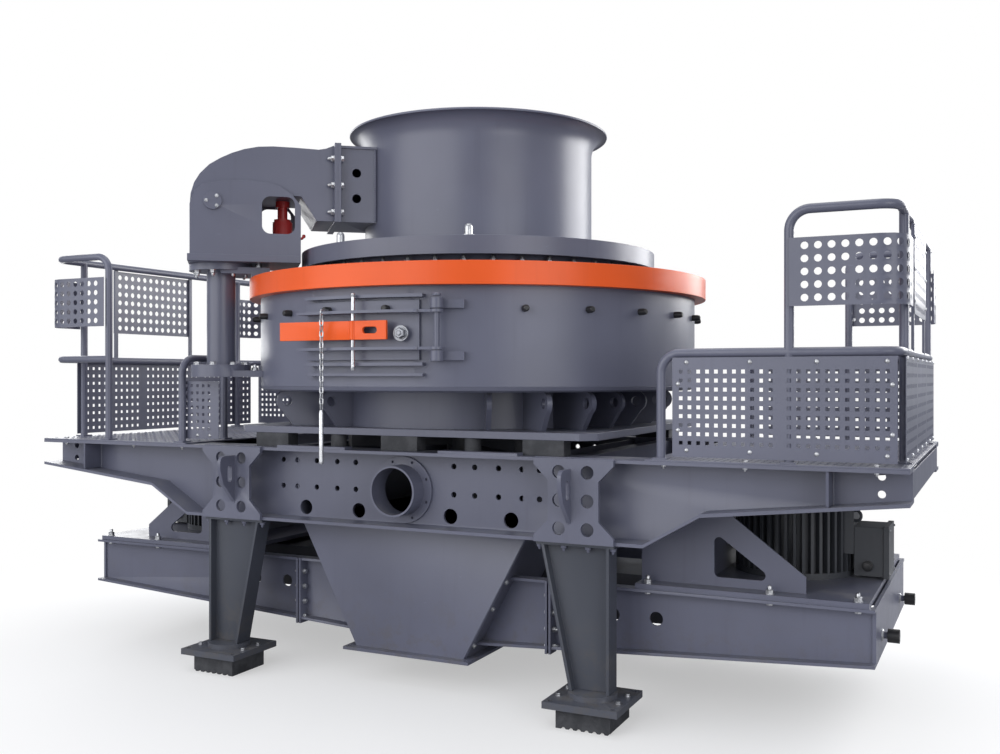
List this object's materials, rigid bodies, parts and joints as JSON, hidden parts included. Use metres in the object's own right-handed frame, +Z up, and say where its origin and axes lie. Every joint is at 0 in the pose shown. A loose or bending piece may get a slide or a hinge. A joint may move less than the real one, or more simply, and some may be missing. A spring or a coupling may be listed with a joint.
{
  "type": "vertical shaft impact crusher",
  "caption": "Vertical shaft rock crusher: round chamber with hinged door and swing-off feed hopper on a legged beam frame with railed decks and two motors.",
  "frame": {"origin": "on the ground under the rotor axis, at the middle of the four feet", "axes": "+X along the two long beams, -Y towards the chamber door, +Z up along the rotor axis"},
  "size_m": [5, 2.7424, 3.0693],
  "materials": {
    "frame_paint": "semi-gloss",
    "dark_paint": "satin",
    "motor_paint": "satin",
    "orange_paint": "gloss",
    "red_paint": "gloss",
    "rubber": "matte",
    "zinc": "galvanised"
  },
  "bodies": {
    "frame": {"front_beam": "frame_paint", "rear_beam": "frame_paint", "cross_members": "frame_paint", "leg_heads": "frame_paint", "legs": "frame_paint", "feet": "dark_paint", "discharge_chute": "frame_paint", "side_port": "dark_paint", "base_plate": "frame_paint", "mount_pads": "rubber", "drum_base": "frame_paint", "chamber_floor": "frame_paint", "chamber_shell": "frame_paint", "chamber_roof": "dark_paint", "top_ring": "orange_paint", "door_frame": "frame_paint", "bearing_housing": "dark_paint", "rotor": "dark_paint", "decks": "frame_paint", "rails_left": "frame_paint", "rails_right": "frame_paint", "panels_left": "frame_paint", "panels_right": "frame_paint", "motor_beams_left": "frame_paint", "motor_beams_right": "frame_paint", "motor_bracket_left": "frame_paint", "motor_bracket_right": "frame_paint", "motor_left": "motor_paint", "motor_right": "motor_paint", "terminal_boxes": "motor_paint", "belt_tunnel": "dark_paint", "column": "frame_paint"},
    "lifter": {"lifter_housing": "frame_paint", "jack_body": "red_paint"},
    "lid": {"lid_arm": "frame_paint", "hopper_bracket": "frame_paint", "lid_ring": "frame_paint", "lid_skirt": "frame_paint", "feed_hopper": "frame_paint", "feed_funnel": "dark_paint"},
    "jack_ram": {"jack_ram": "red_paint"},
    "door": {"chamber_door": "frame_paint", "door_arms": "frame_paint", "pin_chain": "zinc"},
    "latch": {"latch_bar": "orange_paint"}
  },
  "joints": [
    {"name": "lid_swing", "type": "hinge", "parent": "frame", "child": "lifter", "pos_m": [-1.146, -0.96161, 2.272], "axis": [0, 0, -1], "range_deg": [0, 90]},
    {"name": "lid_lift", "type": "hinge", "parent": "lifter", "child": "lid", "pos_m": [-1.17818, -0.98861, 2.599], "axis": [0.6428, -0.766, 0], "range_deg": [0, 4]},
    {"name": "jack_slide", "type": "slide", "parent": "lifter", "child": "jack_ram", "axis": [0, 0, 1], "range_m": [0, 0.0236]},
    {"name": "door_swing", "type": "hinge", "parent": "frame", "child": "door", "pos_m": [0.42741, -1.27739, 1.866], "axis": [0, 0, 1], "range_deg": [0, 105]},
    {"name": "latch_turn", "type": "hinge", "parent": "door", "child": "latch", "pos_m": [0, -1.346, 1.866], "axis": [0, 0, 1], "range_deg": [0, 8]}
  ],
  "couplings": [
    {"joint": "jack_slide", "follows": "lid_lift", "m_per_rad": 0.335}
  ]
}
